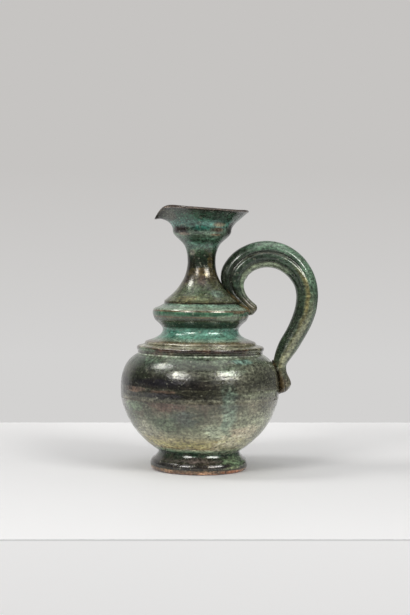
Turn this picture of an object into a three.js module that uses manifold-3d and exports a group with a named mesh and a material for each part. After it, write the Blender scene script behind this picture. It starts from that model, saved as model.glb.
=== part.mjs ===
import * as THREE from "three";
import { mergeVertices } from "three/addons/utils/BufferGeometryUtils.js";
import Module from "manifold-3d";

// A glazed pottery jug, thrown on the wheel in seven sections that are luted together with slip,
// and a pulled handle that is pressed onto the neck and the belly.
// Lengths are in millimetres. The table is at zero height, the spout points to -X, the handle to +X.

// Joints between the thrown sections
const slip = 0.3; // film of slip between two pieces of clay
const sameSpot = 1e-6; // points closer than this count as one
const lapClearance = 0.3; // side clearance of a spigot in its rebate
const lapHeight = 2.5; // how far a spigot stands into its rebate

// Foot: a cup-shaped pedestal with a rounded rim and a narrow waist
const footBaseRadius = 50.6;
const footRadius = 53.5;
const footRimHeight = 4.5;
const footRimRound = 5;
const footHeight = 20.5;
const waistRadius = 44.6;
const waistFlare = 2.9;
const waistDrop = 7;
const footFloor = 9;
const footFloorRound = 6; // how far the well of the foot turns in above its floor
const footFloorRise = 2;
const footWall = 8.1;
const footSpigotWidth = 3;

// Belly: two bowls with one wall thickness, lapped at the widest line
const bellyWall = 6;
const bellyRadius = 87;
const lowerBowlHeight = 59.1;
const lowerBowlSpring = 14.4;
const lowerBowlRise = 10;
const lowerBowlEase = 7;
const lowerBowlDrop = 33.6;
const upperBowlHeight = 47.4;
const upperBowlBulge = 1.5;
const upperBowlRise = 20.4;
const upperBowlDrop = 9;
const upperBowlEase = 1;
const shoulderRadius = 69.5;
const bowlOpening = 59.8;
const wallEnd = 1; // clear of a joint, where the inside of a wall starts

// Shoulder ring: a plain band under a round bead
const ringHeight = 11;
const bandRadius = 69;
const bandHeight = 3.2;
const beadRadius = 3;
const beadInset = 1.8;
const beadHeight = 6.3;
const beadStart = -50; // turn of the bead's outline, in degrees from straight out
const beadEnd = 95;
const ringTopRadius = 62;
const ringBore = 50.5;
const ringSpigotWidth = 4.5;

// Collar: a deep hollow moulding under a fat round one
const collarHeight = 44;
const collarEdgeRadius = 61.3;
const collarEdgeHeight = 1.5;
const hollowRadius = 42;
const hollowHeight = 16;
const hollowSweepIn = 9.3;
const hollowSweepUp = 4.5;
const hollowDrop = 7.5;
const hollowRise = 3;
const ridgeRadius = 50.3;
const ridgeHeight = 26;
const ridgeEaseIn = 3.8;
const ridgeEaseDown = 3.3;
const rollRadius = 54.6;
const rollHeight = 36.5;
const rollTopRadius = 50.5;
const rollTopHeight = 39.6;
const rollSwell = 4.5;
const rollTopEase = 5;
const rollTopRise = 1;
const rollFaceInset = 1; // from the pull of the roll's curve to its widest line
const collarWall = 5.5;
const collarSpigotWidth = 4.2;
const collarTopRadius = 41.3;
const collarBore = 35.5;
const collarBoreDepth = 6;
const collarRoofEase = 8;
const collarRoofDrop = 4.5;
const collarFloorRise = 9;
const collarFloorEase = 2;

// Neck: a short skirt, a concave cone and a slim throat
const neckHeight = 68;
const skirtRadius = 40.7;
const skirtHeight = 3.6;
const throatRadius = 15.5;
const throatHeight = 47;
const coneSweepIn = 14.5;
const coneSweepUp = 11.4;
const throatDrop = 19;
const throatRise = 9;
const throatBore = 11;
const neckTopRadius = 22.1;
const neckTopEaseIn = 4.8;
const neckTopEaseDown = 5;
const neckSpigotWidth = 4.2;
const neckInsideSweepIn = 11;
const neckInsideSweepUp = 13.5;
const neckTongueWidth = 2.8;

// Mouth: a small cup with a flared lip, drawn out by the fingers into a beak
const cupHeight = 36;
const cupRadius = 32.4;
const cupShoulder = 13.5;
const cupSpringOut = 5.4;
const cupSpringUp = 5.2;
const cupShoulderDrop = 5.5;
const cupShoulderRise = 6;
const cupWall = 4;
const lipRadius = 49;
const lipSweepIn = 9;
const lipSweepDown = 8.7;
const lipThickness = 2.6;
const lipTilt = 0.055; // rise of the lip towards the spout for each millimetre across
const lipDraw = 2.2; // how far the lip is drawn out over the handle
const lipRise = 2.2; // how far it is raised there
const spoutReach = 4.1;
const spoutDip = 14;
const spoutCurl = 2.5; // how suddenly the gutter turns down towards its tip
const spoutAngle = 15; // half width of the gutter, in degrees
const pinchDepth = 5;
const pinchAngle = 38; // where the fingers press the lip in beside the gutter, in degrees
const cheekRise = 1.2;
const pinchSpread = 24; // half width of each finger's press, in degrees

// Handle: a pulled roll of clay with two flutes on each side
const handleTipDrop = 6.7; // below the seat of the neck
const handleTipReach = 6.05; // outside the middle of the fat moulding's shoulder
const handleNeckGap = 8.7; // from the middle of the neck's slope to the handle's back
const handleNeckRise = 27.2; // height over the neck's seat where the handle leaves the neck
const archRise = 56.1;
const archNearReach = 36.1;
const archFarReach = 44.3;
const archFarDrop = 46;
const archRoundness = 0.53; // pull of the arch's curves, as a share of their reach
const tipSweepIn = 13.3;
const tipSweepUp = 12.7;
const springDrop = 12;
const runDrop = 32;
const rootSweepOut = 4.5;
const rootSweepUp = 18.4;
const rootEaseIn = 1.8;
const rootEaseDown = 7.6;
const heelSweepOut = 0.4;
const heelSweepUp = 13.5;
const rootReach = 1.5; // outside the widest line of the belly
const rootRise = 39;
const heelReach = 5.6;
const heelRise = 5.9;
const tipWidth = 12.4;
const tipNeckWidth = 11.8;
const archWidth = 29.4;
const gripWidth = 24;
const runWidth = 21.8;
const rootWidth = 13.2;
const heelWidth = 18;
const heelTaper = 3;
const tipRound = 5.5;
const heelRound = 6;
const tipNeckPlace = 0.045; // places along the handle, as shares of its length from the tip
const archStart = 0.19;
const archFinish = 0.34;
const gripPlace = 0.62;
const runPlace = 0.8;
const rootPlace = 0.92;
const heelPlace = 0.975;
const tipThickness = 19;
const archThickness = 26;
const gripThickness = 24;
const rootThickness = 19;
const heelThickness = 21;
const heelSlant = 0.35; // how far the heel's end slopes, for each millimetre across
const endBluntness = 0.1; // share of the roll's section that is left flat at both ends
const runRound = 1.55; // 2 makes the run's section an ellipse, 1 a diamond
const fluteDepth = 0.2; // of the half width
const frontFluteShare = 0.8; // depth of the front flute, as a share of the back flute
const tipFlute = 0.6; // strength of the flutes at the tip, down the run and at the heel
const gripFlute = 0.35;
const runFlute = 0.3;
const heelFlute = 0.8;
const pressStart = 0.09; // where the tip's press on the neck starts to ease, and where it ends
const pressEnd = 0.14;
const pressHeel = 0.87; // where the heel's press begins
const fluteWidth = 13; // in degrees
const backFlute = 77; // places of the flutes round the section, in degrees from the back
const frontFlute = 127;
const pressDepth = 4; // how far the soft clay is pressed onto the body before it is trimmed

// Luting pads: soft clay squeezed out between the handle and the body
const padThickness = 2;
const padSpread = 1.3;

// Facets
const wheelFacets = 36;
const mouthFacets = 40;
const rollFacets = 16; // to each half turn
const handleSteps = 36;
const endSteps = 0.7; // how strongly the steps crowd towards both ends, from 0 to 1

const bowlSeat = footHeight;
const seamHeight = bowlSeat + lowerBowlHeight;
const ringSeat = seamHeight + upperBowlHeight;
const collarSeat = ringSeat + ringHeight;
const neckSeat = collarSeat + collarHeight;
const cupSeat = neckSeat + neckHeight;

const at = (radius, height) => new THREE.Vector2(radius, height);
const radians = THREE.MathUtils.degToRad;

function bend(from, pullFrom, pullTo, to, steps) {
  return new THREE.CubicBezierCurve(from, pullFrom, pullTo, to).getPoints(steps);
}

// The same line moved sideways: to its right-hand side, seen along it, where the distance is positive.
function parallel(line, distance) {
  return line.map((point, i) => {
    const before = point.clone().sub(line[Math.max(i - 1, 0)]);
    const after = line[Math.min(i + 1, line.length - 1)].clone().sub(point);
    const sides = [before, after].filter((step) => step.length() > 0).map((step) => step.normalize());
    const normals = sides.map((step) => at(step.y, -step.x));
    const mean = normals[0].clone().add(normals[normals.length - 1]).normalize();
    return point.clone().addScaledVector(mean, distance / mean.dot(normals[0]));
  });
}

// A solid turned on the wheel from its outline, which runs up the outside first.
function turned(outline, facets) {
  const line = outline.filter((point, i) => i === 0 || point.distanceTo(outline[i - 1]) > sameSpot);
  const geometry = new THREE.LatheGeometry(line, facets);
  geometry.rotateX(Math.PI / 2);
  return geometry;
}

const ring = (...stretches) => {
  const line = stretches.flat();
  return [...line, line[0].clone()];
};

function material(color, roughness, metalness = 0) {
  return new THREE.MeshStandardMaterial({ color, roughness, metalness });
}

const jug = new THREE.Group();

function addPiece(name, geometry, finish) {
  const mesh = new THREE.Mesh(geometry, finish);
  mesh.name = name;
  jug.add(mesh);
}

// Foot
const footLapRadius = waistRadius - footWall + footSpigotWidth;
const footInnerRadius = waistRadius - footWall;
addPiece(
  "foot",
  turned(
    [
      at(0, 0),
      at(footBaseRadius, 0),
      ...new THREE.QuadraticBezierCurve(
        at(footBaseRadius, 0),
        at(footRadius, 0),
        at(footRadius, footRimHeight),
      ).getPoints(3),
      ...bend(
        at(footRadius, footRimHeight),
        at(footRadius, footRimHeight + footRimRound),
        at(waistRadius + waistFlare, footHeight - waistDrop),
        at(waistRadius, footHeight),
        6,
      ),
      at(footLapRadius, footHeight),
      at(footLapRadius, footHeight + lapHeight),
      at(footInnerRadius, footHeight + lapHeight),
      ...bend(
        at(footInnerRadius, footHeight),
        at(footInnerRadius, footFloor + footFloorRise),
        at(footInnerRadius - footFloorRound, footFloor),
        at(0, footFloor),
        4,
      ),
    ],
    wheelFacets,
  ),
  material(0x2b3a2e, 0.3),
);

// Lower bowl: open at the bottom, its rebate drops over the spigot of the foot.
const lowerBelly = bend(
  at(waistRadius, bowlSeat),
  at(waistRadius + lowerBowlSpring, bowlSeat + lowerBowlRise),
  at(bellyRadius - lowerBowlEase, seamHeight - lowerBowlDrop),
  at(bellyRadius, seamHeight),
  8,
);
const lowerInside = parallel(lowerBelly, -bellyWall).filter(
  (point) => point.y > bowlSeat + lapHeight + slip + wallEnd && point.y < seamHeight - wallEnd,
);
const rebateRadius = footLapRadius + lapClearance;
const seamLapRadius = bellyRadius - bellyWall / 2;
addPiece(
  "lower_bowl",
  turned(
    ring(
      at(waistRadius, bowlSeat + slip),
      lowerBelly.slice(1),
      at(seamLapRadius, seamHeight),
      at(seamLapRadius, seamHeight + lapHeight),
      at(bellyRadius - bellyWall, seamHeight + lapHeight),
      lowerInside.reverse(),
      at(footInnerRadius, bowlSeat + lapHeight + slip),
      at(rebateRadius, bowlSeat + lapHeight + slip),
      at(rebateRadius, bowlSeat + slip),
    ),
    wheelFacets,
  ),
  material(0x5d6f58, 0.35),
);

// Upper bowl: closes in to the opening that the shoulder ring stands in.
const upperBelly = bend(
  at(bellyRadius, seamHeight),
  at(bellyRadius + upperBowlBulge, seamHeight + upperBowlRise),
  at(bellyRadius - upperBowlEase, ringSeat - upperBowlDrop),
  at(shoulderRadius, ringSeat),
  8,
);
const upperInside = parallel(upperBelly, -bellyWall).filter(
  (point) => point.y > seamHeight + lapHeight + slip + wallEnd && point.x > bowlOpening + wallEnd,
);
addPiece(
  "upper_bowl",
  turned(
    ring(
      at(bellyRadius, seamHeight + slip),
      upperBelly.slice(1),
      at(bowlOpening, ringSeat),
      at(bowlOpening, ringSeat - bellyWall),
      upperInside.reverse(),
      at(bellyRadius - bellyWall, seamHeight + lapHeight + slip),
      at(seamLapRadius + lapClearance, seamHeight + lapHeight + slip),
      at(seamLapRadius + lapClearance, seamHeight + slip),
    ),
    wheelFacets,
  ),
  material(0x46584a, 0.35),
);

// Shoulder ring
const ringSpigotRadius = bowlOpening - lapClearance;
const beadCentre = at(bandRadius - beadInset, ringSeat + beadHeight);
const bead = new THREE.EllipseCurve(
  beadCentre.x,
  beadCentre.y,
  beadRadius,
  beadRadius,
  radians(beadStart),
  radians(beadEnd),
).getPoints(6);
addPiece(
  "shoulder_ring",
  turned(
    ring(
      at(bandRadius, ringSeat + slip),
      at(bandRadius, ringSeat + bandHeight),
      bead,
      at(ringTopRadius, collarSeat),
      at(ringBore, collarSeat),
      at(ringBore, collarSeat - ringHeight / 2),
      at(ringSpigotRadius - ringSpigotWidth, ringSeat - lapHeight),
      at(ringSpigotRadius, ringSeat - lapHeight),
      at(ringSpigotRadius, ringSeat + slip),
    ),
    wheelFacets,
  ),
  material(0x4c5b48, 0.3),
);

// Collar: its spigot stands in the bore of the shoulder ring.
const collarOuter = [
  at(collarEdgeRadius, collarSeat + collarEdgeHeight),
  ...bend(
    at(collarEdgeRadius, collarSeat + collarEdgeHeight),
    at(collarEdgeRadius - hollowSweepIn, collarSeat + collarEdgeHeight + hollowSweepUp),
    at(hollowRadius, collarSeat + hollowHeight - hollowDrop),
    at(hollowRadius, collarSeat + hollowHeight),
    6,
  ),
  ...bend(
    at(hollowRadius, collarSeat + hollowHeight),
    at(hollowRadius, collarSeat + hollowHeight + hollowRise),
    at(ridgeRadius - ridgeEaseIn, collarSeat + ridgeHeight - ridgeEaseDown),
    at(ridgeRadius, collarSeat + ridgeHeight),
    3,
  ).slice(1),
  ...bend(
    at(ridgeRadius, collarSeat + ridgeHeight),
    at(rollRadius - rollFaceInset, collarSeat + ridgeHeight + rollSwell),
    at(rollRadius, collarSeat + rollHeight),
    at(rollTopRadius, collarSeat + rollTopHeight),
    6,
  ).slice(1),
  ...new THREE.QuadraticBezierCurve(
    at(rollTopRadius, collarSeat + rollTopHeight),
    at(rollTopRadius - rollTopEase, collarSeat + rollTopHeight + rollTopRise),
    at(collarTopRadius, neckSeat),
  )
    .getPoints(3)
    .slice(1),
].slice(1);
const collarSpigotRadius = ringBore - lapClearance;
const collarInnerRadius = collarSpigotRadius - collarSpigotWidth;
const rollInnerRadius = rollRadius - rollFaceInset - collarWall;
const hollowInnerRadius = hollowRadius - collarWall;
const collarRoof = neckSeat - collarBoreDepth;
addPiece(
  "collar",
  turned(
    ring(
      at(collarEdgeRadius, collarSeat + slip),
      collarOuter,
      at(collarBore, neckSeat),
      bend(
        at(collarBore, collarRoof),
        at(collarBore + collarRoofEase, collarRoof),
        at(rollInnerRadius, collarRoof),
        at(rollInnerRadius, collarRoof - collarRoofDrop),
        3,
      ),
      bend(
        at(rollInnerRadius, collarRoof - collarRoofDrop),
        at(rollInnerRadius, collarSeat + ridgeHeight + hollowRise),
        at(hollowInnerRadius, collarSeat + hollowHeight + 2 * hollowRise),
        at(hollowInnerRadius, collarSeat + hollowHeight),
        4,
      ).slice(1),
      bend(
        at(hollowInnerRadius, collarSeat + hollowHeight),
        at(hollowInnerRadius, collarSeat + collarFloorRise),
        at(collarInnerRadius, collarSeat + collarFloorRise),
        at(collarInnerRadius, collarSeat + collarFloorEase),
        4,
      ).slice(1),
      at(collarInnerRadius, collarSeat - lapHeight),
      at(collarSpigotRadius, collarSeat - lapHeight),
      at(collarSpigotRadius, collarSeat + slip),
    ),
    wheelFacets,
  ),
  material(0x4f7d66, 0.25),
);

// Neck: its spigot stands in the bore of the collar, its tongue holds the mouth.
const neckSkirt = [at(skirtRadius, neckSeat), at(skirtRadius, neckSeat + skirtHeight)];
const neckCone = bend(
  at(skirtRadius, neckSeat + skirtHeight),
  at(skirtRadius - coneSweepIn, neckSeat + skirtHeight + coneSweepUp),
  at(throatRadius, neckSeat + throatHeight - throatDrop),
  at(throatRadius, neckSeat + throatHeight),
  8,
);
const neckTop = bend(
  at(throatRadius, neckSeat + throatHeight),
  at(throatRadius, neckSeat + throatHeight + throatRise),
  at(neckTopRadius - neckTopEaseIn, cupSeat - neckTopEaseDown),
  at(neckTopRadius, cupSeat),
  5,
);
const neckSpigotRadius = collarBore - lapClearance;
const neckInnerRadius = neckSpigotRadius - neckSpigotWidth;
const tongueRadius = neckTopRadius - neckTongueWidth;
const tongueInnerRadius = tongueRadius - neckTongueWidth;
addPiece(
  "neck",
  turned(
    ring(
      at(skirtRadius, neckSeat + slip),
      neckCone,
      neckTop.slice(1),
      at(tongueRadius, cupSeat),
      at(tongueRadius, cupSeat + lapHeight),
      at(tongueInnerRadius, cupSeat + lapHeight),
      bend(
        at(tongueInnerRadius, cupSeat),
        at(tongueInnerRadius - neckTopEaseIn / 2, cupSeat - neckTopEaseDown),
        at(throatBore, neckSeat + throatHeight + throatRise),
        at(throatBore, neckSeat + throatHeight),
        3,
      ),
      bend(
        at(throatBore, neckSeat + throatHeight),
        at(throatBore, neckSeat + throatHeight - throatDrop),
        at(neckInnerRadius - neckInsideSweepIn, neckSeat - lapHeight + neckInsideSweepUp),
        at(neckInnerRadius, neckSeat - lapHeight),
        5,
      ).slice(1),
      at(neckSpigotRadius, neckSeat - lapHeight),
      at(neckSpigotRadius, neckSeat + slip),
    ),
    wheelFacets,
  ),
  material(0x3f4f3b, 0.25),
);

// Mouth cup: turned round first, then its lip is drawn out by the fingers.
function drawOut(geometry) {
  const place = geometry.attributes.position;
  const corner = new THREE.Vector3();
  for (let i = 0; i < place.count; i++) {
    corner.fromBufferAttribute(place, i);
    const radius = Math.hypot(corner.x, corner.y);
    const fromSpout = Math.abs(THREE.MathUtils.radToDeg(Math.atan2(corner.y, -corner.x)));
    const share = (corner.z - cupSeat - cupShoulder) / (cupHeight - cupShoulder);
    const soft = Math.max(share, 0);
    const gutter = Math.exp(-((fromSpout / spoutAngle) ** 2));
    const pinch = Math.exp(-(((fromSpout - pinchAngle) / pinchSpread) ** 2));
    const towardsHandle = corner.x / radius;
    const drawn = radius
      + soft ** 2 * (spoutReach * gutter - pinchDepth * pinch)
      + soft * lipDraw * Math.max(towardsHandle, 0) ** 2;
    const risen = corner.z
      - soft * lipTilt * corner.x
      + soft ** 2 * (cheekRise * pinch + lipRise * Math.max(towardsHandle, 0) ** 4)
      - soft ** spoutCurl * spoutDip * gutter;
    place.setXYZ(i, (corner.x * drawn) / radius, (corner.y * drawn) / radius, risen);
  }
  return geometry;
}
const mouthRebate = tongueRadius + lapClearance;
addPiece(
  "mouth_cup",
  drawOut(
    turned(
      ring(
        bend(
          at(neckTopRadius, cupSeat + slip),
          at(neckTopRadius + cupSpringOut, cupSeat + slip + cupSpringUp),
          at(cupRadius, cupSeat + cupShoulder - cupShoulderDrop),
          at(cupRadius, cupSeat + cupShoulder),
          5,
        ),
        bend(
          at(cupRadius, cupSeat + cupShoulder),
          at(cupRadius, cupSeat + cupShoulder + cupShoulderRise),
          at(lipRadius - lipSweepIn, cupSeat + cupHeight - lipThickness / 2 - lipSweepDown),
          at(lipRadius, cupSeat + cupHeight - lipThickness / 2),
          6,
        ).slice(1),
        at(lipRadius, cupSeat + cupHeight),
        at(lipRadius - lipThickness, cupSeat + cupHeight),
        bend(
          at(lipRadius - lipThickness, cupSeat + cupHeight),
          at(lipRadius - lipThickness - lipSweepIn, cupSeat + cupHeight - lipSweepDown),
          at(cupRadius - cupWall, cupSeat + cupShoulder + cupShoulderRise),
          at(cupRadius - cupWall, cupSeat + cupShoulder),
          5,
        ).slice(1),
        bend(
          at(cupRadius - cupWall, cupSeat + cupShoulder),
          at(cupRadius - cupWall, cupSeat + cupShoulder - cupShoulderDrop),
          at(tongueInnerRadius + cupSpringOut / 2, cupSeat + lapHeight + cupSpringUp / 2),
          at(tongueInnerRadius, cupSeat + lapHeight + slip),
          4,
        ).slice(1),
        at(mouthRebate, cupSeat + lapHeight + slip),
        at(mouthRebate, cupSeat + slip),
      ),
      mouthFacets,
    ),
  ),
  material(0x3c5a49, 0.25),
);

// Handle: its centre line runs from the tip on the collar up along the neck, over the arch,
// and down to the heel on the belly.
const centre = (x, z) => new THREE.Vector3(x, 0, z);
const handleTip = centre((rollRadius + rollTopRadius) / 2 + handleTipReach, neckSeat - handleTipDrop);
const handleSpring = centre((skirtRadius + throatRadius) / 2 + handleNeckGap, neckSeat + handleNeckRise);
const archTop = centre(handleSpring.x + archNearReach, neckSeat + archRise);
const archEnd = centre(archTop.x + archFarReach, archTop.z - archFarDrop);
const rootStart = centre(bellyRadius + rootReach, seamHeight + rootRise);
const heel = centre(bellyRadius + heelReach, seamHeight + heelRise);
const handleLine = new THREE.CurvePath();
function addStretch(from, pullFrom, pullTo, to) {
  handleLine.add(new THREE.CubicBezierCurve3(from, pullFrom, pullTo, to));
}
addStretch(
  handleTip,
  centre(handleTip.x - tipSweepIn, handleTip.z + tipSweepUp),
  centre(handleSpring.x, handleSpring.z - springDrop),
  handleSpring,
);
addStretch(
  handleSpring,
  centre(handleSpring.x, handleSpring.z + (archTop.z - handleSpring.z) * archRoundness),
  centre(archTop.x - archNearReach * archRoundness, archTop.z),
  archTop,
);
addStretch(
  archTop,
  centre(archTop.x + archFarReach * archRoundness, archTop.z),
  centre(archEnd.x, archEnd.z + archFarDrop * archRoundness),
  archEnd,
);
addStretch(
  archEnd,
  centre(archEnd.x, archEnd.z - runDrop),
  centre(rootStart.x + rootSweepOut, rootStart.z + rootSweepUp),
  rootStart,
);
addStretch(
  rootStart,
  centre(rootStart.x - rootEaseIn, rootStart.z - rootEaseDown),
  centre(heel.x + heelSweepOut, heel.z + heelSweepUp),
  heel,
);

// A value that changes smoothly along the handle, from its values at given shares of the length.
function along(share, ...stations) {
  const next = Math.max(1, stations.findIndex(([place]) => place >= share));
  const [placeA, valueA] = stations[next - 1];
  const [placeB, valueB] = stations[next];
  return valueA + (valueB - valueA) * THREE.MathUtils.smoothstep(share, placeA, placeB);
}

// The handle as it is pulled, or the same shape with its skin moved out by the spread.
function pulledRoll(spread) {
  const round = new THREE.Shape().absarc(0, 0, 1, 0, 2 * Math.PI);
  const geometry = new THREE.ExtrudeGeometry(round, {
    depth: 1,
    steps: handleSteps,
    bevelEnabled: false,
    curveSegments: rollFacets,
  });
  const place = geometry.attributes.position;
  const length = handleLine.getLength();
  for (let i = 0; i < place.count; i++) {
    const turn = Math.atan2(place.getY(i), place.getX(i));
    const step = place.getZ(i);
    const crowd = (endSteps * Math.sin(2 * Math.PI * step)) / (2 * Math.PI);
    const share = THREE.MathUtils.clamp(step - crowd, 0, 1);
    const middle = handleLine.getPointAt(share);
    const run = handleLine.getTangentAt(share);
    const back = centre(-run.z, run.x); // towards the neck at the tip, away from the belly at the heel
    const width = along(
      share,
      [0, tipWidth],
      [tipNeckPlace, tipNeckWidth],
      [archStart, archWidth],
      [archFinish, archWidth],
      [gripPlace, gripWidth],
      [runPlace, runWidth],
      [rootPlace, rootWidth],
      [heelPlace, heelWidth],
      [1, heelWidth - heelTaper],
    );
    const thickness = along(
      share,
      [0, tipThickness],
      [archStart, archThickness],
      [gripPlace, gripThickness],
      [rootPlace, rootThickness],
      [1, heelThickness],
    );
    const end = Math.min(share, 1 - share) * length;
    const endRound = share < 0.5 ? tipRound : heelRound;
    const dome = Math.sqrt(1 - (1 - endBluntness) * Math.max(1 - end / endRound, 0) ** 2);
    const fade = along(
      share,
      [0, tipFlute],
      [archStart, 1],
      [archFinish, 1],
      [gripPlace, gripFlute],
      [runPlace, runFlute],
      [1, heelFlute],
    );
    const side = Math.abs(THREE.MathUtils.radToDeg(turn));
    const flutes = Math.exp(-(((side - backFlute) / fluteWidth) ** 2))
      + frontFluteShare * Math.exp(-(((side - frontFlute) / fluteWidth) ** 2));
    const power = along(share, [0, 2], [archFinish, 2], [runPlace, runRound], [1, runRound]);
    const round = (Math.abs(Math.cos(turn)) ** power + Math.abs(Math.sin(turn)) ** power) ** (-1 / power);
    const skin = round * (1 - fluteDepth * fade * flutes);
    const pressBack = along(share, [0, 1], [pressStart, 1], [pressEnd, 0], [1, 0]);
    const pressFront = along(share, [0, 0], [pressHeel, 0], [rootPlace, 1], [1, 1]);
    const press = pressDepth * (Math.cos(turn) > 0 ? pressBack : pressFront);
    const across = Math.cos(turn) * ((width / 2) * dome * skin + spread + press);
    const aside = -Math.sin(turn) * ((thickness / 2) * dome * skin + spread);
    const slope = heelSlant * along(share, [0, 0], [rootPlace, 0], [1, 1]);
    middle.addScaledVector(run, -slope * across);
    place.setXYZ(i, middle.x + back.x * across, aside, middle.z + back.z * across);
  }
  return geometry;
}

const wasm = await Module();
wasm.setup();

function solid(geometry) {
  const bare = geometry.clone();
  bare.deleteAttribute("normal");
  bare.deleteAttribute("uv");
  const merged = mergeVertices(bare, 1e-3);
  return new wasm.Manifold(
    new wasm.Mesh({
      numProp: 3,
      vertProperties: merged.attributes.position.array,
      triVerts: new Uint32Array(merged.index.array),
    }),
  );
}

function geometryOf(body) {
  const { vertProperties, triVerts } = body.getMesh();
  const geometry = new THREE.BufferGeometry();
  geometry.setAttribute("position", new THREE.BufferAttribute(vertProperties, 3));
  geometry.setIndex(new THREE.BufferAttribute(triVerts, 1));
  return geometry;
}

// The body that a handle end is pressed on, grown by a distance: the clay side of each luting pad.
function grownBody(line, distance) {
  const skin = parallel(line, distance);
  const outline = [at(0, skin[0].y), ...skin, at(0, skin[skin.length - 1].y)];
  return solid(turned(outline, wheelFacets));
}
const neckSide = [...collarOuter.slice(5, -1), ...neckSkirt, ...neckCone.slice(1)];
const bellySide = [...lowerBelly, ...upperBelly.slice(1)];
const padOuter = slip + padThickness;
const blank = solid(pulledRoll(0));
const wideBlank = solid(pulledRoll(padSpread));
const trimmed = [neckSide, bellySide].reduce(
  (body, line) => body.subtract(grownBody(line, padOuter + slip)),
  blank,
);
addPiece("handle", geometryOf(trimmed), material(0x4b6f58, 0.25));

for (const [name, line] of [
  ["upper_luting_pad", neckSide],
  ["lower_luting_pad", bellySide],
]) {
  const pad = wideBlank.intersect(grownBody(line, padOuter)).subtract(grownBody(line, slip));
  addPiece(name, geometryOf(pad), material(0x6b5636, 0.4));
}

export default jug;
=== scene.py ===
from math import atan2, cos, degrees, exp, hypot, radians, sin, sqrt, tau

import bpy
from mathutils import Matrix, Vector
from mathutils.geometry import interpolate_bezier


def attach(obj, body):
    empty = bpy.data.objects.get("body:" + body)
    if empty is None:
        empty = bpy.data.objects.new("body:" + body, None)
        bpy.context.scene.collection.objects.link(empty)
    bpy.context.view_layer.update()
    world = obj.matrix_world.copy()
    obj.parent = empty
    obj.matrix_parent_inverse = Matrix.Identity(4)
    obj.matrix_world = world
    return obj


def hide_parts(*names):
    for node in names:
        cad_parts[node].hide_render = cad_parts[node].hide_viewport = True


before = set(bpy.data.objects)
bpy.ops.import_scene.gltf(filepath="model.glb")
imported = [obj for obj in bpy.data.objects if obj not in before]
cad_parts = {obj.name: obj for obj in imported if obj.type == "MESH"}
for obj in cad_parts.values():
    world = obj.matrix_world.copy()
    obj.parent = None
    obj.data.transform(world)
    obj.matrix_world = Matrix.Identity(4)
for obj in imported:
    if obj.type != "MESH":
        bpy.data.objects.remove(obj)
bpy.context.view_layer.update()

# Foot: a low pedestal of red clay with a rounded rim and a narrow waist, thrown in one piece with its
# floor and wired off flat at the base. Dark green glaze runs down it and stops just short of the base.
MM = 0.001
WHEEL_STEPS = 160


def bend(*points, steps=14):
    """Points along a smooth curve given by its start, two pulls and its end, without the start."""
    corners = [Vector(point) for point in points]
    return [tuple(point) for point in interpolate_bezier(*corners, steps)][1:]


def throw(name, outline, steps=WHEEL_STEPS):
    """A piece turned on the wheel from its outline, radius and height in millimetres."""
    bpy.ops.object.select_all(action="DESELECT")
    start_radius, start_height = outline[0]
    bpy.ops.mesh.primitive_plane_add(size=MM, location=(start_radius * MM, 0, start_height * MM))
    piece = bpy.context.object
    piece.name = name
    bpy.ops.object.mode_set(mode="EDIT")
    bpy.ops.mesh.select_all(action="SELECT")
    bpy.ops.mesh.merge(type="CENTER")
    for (radius, height), (next_radius, next_height) in zip(outline, outline[1:]):
        step = ((next_radius - radius) * MM, 0, (next_height - height) * MM)
        bpy.ops.mesh.extrude_vertices_move(TRANSFORM_OT_translate={"value": step})
    bpy.ops.mesh.select_all(action="SELECT")
    bpy.ops.mesh.spin(steps=steps, angle=tau, center=(0, 0, 0), axis=(0, 0, 1))
    bpy.ops.mesh.select_all(action="SELECT")
    bpy.ops.mesh.remove_doubles(threshold=0.01 * MM)
    bpy.ops.mesh.normals_make_consistent(inside=False)
    bpy.ops.object.mode_set(mode="OBJECT")
    bpy.ops.object.transform_apply(location=True, rotation=False, scale=False)
    return piece


def wheel_marks(line, depth, pitch, phase=0.0):
    """The same line with the faint rings that the potter's fingers leave."""
    return [
        (radius + depth * sin(tau * height / pitch + phase) * sin(tau * height / (2.7 * pitch)), height)
        for radius, height in line
    ]


def soften(piece, depth, lump, sharpness=radians(40)):
    """Leaves the small unevenness of soft clay and thick glaze all over a piece."""
    lumps = bpy.data.textures.new(piece.name + "_lumps", "CLOUDS")
    lumps.noise_scale = lump * MM
    lumps.noise_depth = 2
    uneven = piece.modifiers.new("uneven", "DISPLACE")
    uneven.texture = lumps
    uneven.texture_coords = "LOCAL"
    uneven.strength = depth * MM
    uneven.mid_level = 0.5
    bpy.ops.object.select_all(action="DESELECT")
    piece.select_set(True)
    bpy.context.view_layer.objects.active = piece
    bpy.ops.object.modifier_apply(modifier=uneven.name)
    bpy.ops.object.shade_smooth_by_angle(angle=sharpness)


def colour(red, green, blue):
    """A colour as a screen shows it, each part from 0 to 255, in the form that a shader takes."""
    parts = [value / 255 for value in (red, green, blue)]
    return (*(((part + 0.055) / 1.055) ** 2.4 if part > 0.04 else part / 12.92 for part in parts), 1)


def feed(tree, socket, value):
    """Links a shader socket to another one, or sets it to a constant."""
    if isinstance(value, bpy.types.NodeSocket):
        tree.links.new(value, socket)
    else:
        socket.default_value = value


def add_node(tree, kind, **inputs):
    """A shader node with some of its inputs set or linked, by their names."""
    node = tree.nodes.new(kind)
    for name, value in inputs.items():
        feed(tree, node.inputs[name.replace("_", " ")], value)
    return node


def sums(tree, operation, *values):
    """The result of a math node for values that are constants or links."""
    node = tree.nodes.new("ShaderNodeMath")
    node.operation = operation
    for socket, value in zip(node.inputs, values):
        feed(tree, socket, value)
    return node.outputs[0]


def axes_of(tree):
    """The place on the piece, by its X, Y and Z in metres."""
    place = add_node(tree, "ShaderNodeTexCoord")
    return add_node(tree, "ShaderNodeSeparateXYZ", Vector=place.outputs["Object"]).outputs


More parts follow.
